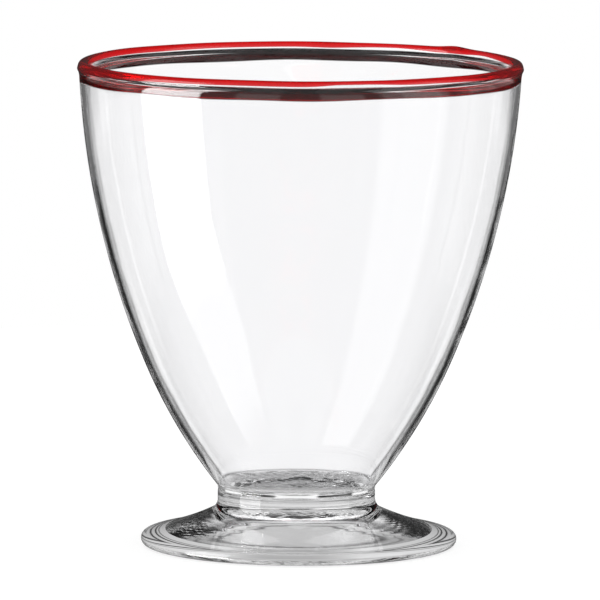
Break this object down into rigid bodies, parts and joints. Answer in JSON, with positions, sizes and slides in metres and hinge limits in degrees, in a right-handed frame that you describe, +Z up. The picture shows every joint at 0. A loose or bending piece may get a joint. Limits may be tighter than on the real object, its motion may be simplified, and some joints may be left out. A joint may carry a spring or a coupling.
{
  "type": "parfait glass",
  "caption": "Hand-blown footed parfait glass: clear flared bowl with a red lip wrap, on a short neck and a spread round foot.",
  "frame": {"origin": "centre of the flat ring that the foot rests on", "axes": "+Z up along the axis of the bowl, out of its mouth; X and Y are free, because the glass is turned about Z"},
  "size_m": [0.1, 0.1, 0.109],
  "materials": {
    "clear_glass": "fire-polished hand-blown clear glass",
    "red_glass": "fire-polished ruby red glass"
  },
  "bodies": {
    "root": {"bowl": "clear_glass", "lip_bead": "red_glass", "lip_band": "red_glass", "stem_button": "clear_glass", "foot": "clear_glass"}
  },
  "joints": []
}
